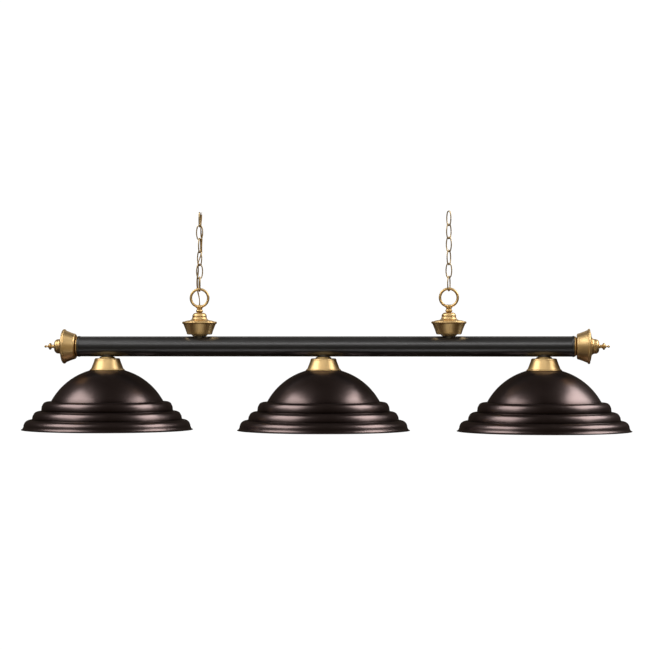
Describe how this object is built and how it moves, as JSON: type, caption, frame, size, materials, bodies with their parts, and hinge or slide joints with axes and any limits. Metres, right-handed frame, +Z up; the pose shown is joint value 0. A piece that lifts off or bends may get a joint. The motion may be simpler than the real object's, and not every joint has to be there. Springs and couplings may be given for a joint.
{
  "type": "pool table lamp",
  "caption": "Long bar lamp with stepped dome shades below and chains above, hung over a billiard table.",
  "frame": {"origin": "midway between the two hanging chains, at the height where the ceiling hooks bear inside the top links", "axes": "+X along the bar to the viewer's right, +Y away from the viewer, +Z up"},
  "size_m": [1.4529, 0.411, 0.5211],
  "materials": {
    "black_tube": "satin black paint",
    "antique_brass": "satin antique brass, brushed and lacquered",
    "chain_brass": "antique brass plated wire",
    "bronze_shade": "satin dark bronze",
    "phenolic": "moulded phenolic",
    "steel": "zinc plated",
    "bulb_metal": "rolled screw base",
    "bulb_glass": "frosted white",
    "plug_plastic": "black moulded plug",
    "sleeve_plastic": "moulded nylon",
    "wire_insulation": "black and white insulation",
    "lamp_cord": "clear gold lamp cord"
  },
  "bodies": {
    "top_links": {"left_top_link": "chain_brass", "right_top_link": "chain_brass"},
    "left_swing_link": {"left_second_link": "chain_brass"},
    "right_swing_link": {"right_second_link": "chain_brass"},
    "left_chain": {"left_chain_links": "chain_brass", "supply_cord": "lamp_cord"},
    "right_chain": {"right_chain_links": "chain_brass"},
    "left_bulb": {"left_bulb_glass": "bulb_glass", "left_bulb_base": "bulb_metal"},
    "middle_bulb": {"middle_bulb_glass": "bulb_glass", "middle_bulb_base": "bulb_metal"},
    "right_bulb": {"right_bulb_glass": "bulb_glass", "right_bulb_base": "bulb_metal"},
    "lamp": {"tube": "black_tube", "saddles": "black_tube", "tube_plugs": "plug_plastic", "threaded_nipples": "steel", "lock_nuts": "steel", "end_rods": "steel", "centre_contacts": "antique_brass", "terminal_screws": "steel", "splice_sleeves": "sleeve_plastic", "lead_wires": "wire_insulation", "left_end_ring": "antique_brass", "left_end_cup": "antique_brass", "left_end_dome": "antique_brass", "left_finial": "antique_brass", "left_hanger_neck": "antique_brass", "left_hanger_cup": "antique_brass", "left_hanger_dome": "antique_brass", "left_hanging_loop": "antique_brass", "right_end_ring": "antique_brass", "right_end_cup": "antique_brass", "right_end_dome": "antique_brass", "right_finial": "antique_brass", "right_hanger_neck": "antique_brass", "right_hanger_cup": "antique_brass", "right_hanger_dome": "antique_brass", "right_hanging_loop": "antique_brass", "left_fitter_neck": "antique_brass", "left_fitter_cup": "antique_brass", "left_socket_cap": "phenolic", "left_socket_body": "phenolic", "left_screw_shell": "antique_brass", "left_shade_ring": "phenolic", "left_shade": "bronze_shade", "middle_fitter_neck": "antique_brass", "middle_fitter_cup": "antique_brass", "middle_socket_cap": "phenolic", "middle_socket_body": "phenolic", "middle_screw_shell": "antique_brass", "middle_shade_ring": "phenolic", "middle_shade": "bronze_shade", "right_fitter_neck": "antique_brass", "right_fitter_cup": "antique_brass", "right_socket_cap": "phenolic", "right_socket_body": "phenolic", "right_screw_shell": "antique_brass", "right_shade_ring": "phenolic", "right_shade": "bronze_shade"}
  },
  "joints": [
    {"name": "fore_aft_swing", "type": "hinge", "parent": "top_links", "child": "left_swing_link", "pos_m": [-0.2975, 0, -0.03107], "axis": [1, 0, 0], "range_deg": [-20, 20], "deforming": ["supply_cord"]},
    {"name": "right_fore_aft_swing", "type": "hinge", "parent": "top_links", "child": "right_swing_link", "pos_m": [0.2975, 0, -0.03107], "axis": [1, 0, 0], "range_deg": [-20, 20]},
    {"name": "left_chain_sway", "type": "hinge", "parent": "left_swing_link", "child": "left_chain", "pos_m": [-0.2975, 0, -0.06193], "axis": [0, 1, 0], "range_deg": [-15, 15]},
    {"name": "right_chain_sway", "type": "hinge", "parent": "right_swing_link", "child": "right_chain", "pos_m": [0.2975, 0, -0.06193], "axis": [0, 1, 0], "range_deg": [-15, 15]},
    {"name": "lengthwise_sway", "type": "hinge", "parent": "left_chain", "child": "lamp", "pos_m": [-0.2975, 0, -0.1871], "axis": [0, 1, 0], "range_deg": [-15, 15], "deforming": ["supply_cord"]},
    {"name": "left_bulb_turn", "type": "hinge", "parent": "lamp", "child": "left_bulb", "pos_m": [-0.521, 0, -0.41445], "axis": [0, 0, 1], "continuous": true},
    {"name": "middle_bulb_turn", "type": "hinge", "parent": "lamp", "child": "middle_bulb", "pos_m": [0, 0, -0.41445], "axis": [0, 0, 1], "continuous": true},
    {"name": "right_bulb_turn", "type": "hinge", "parent": "lamp", "child": "right_bulb", "pos_m": [0.521, 0, -0.41445], "axis": [0, 0, 1], "continuous": true}
  ],
  "couplings": [
    {"joint": "right_fore_aft_swing", "follows": "fore_aft_swing", "ratio": 1},
    {"joint": "left_chain_sway", "follows": "lengthwise_sway", "ratio": -1},
    {"joint": "right_chain_sway", "follows": "lengthwise_sway", "ratio": -1}
  ]
}
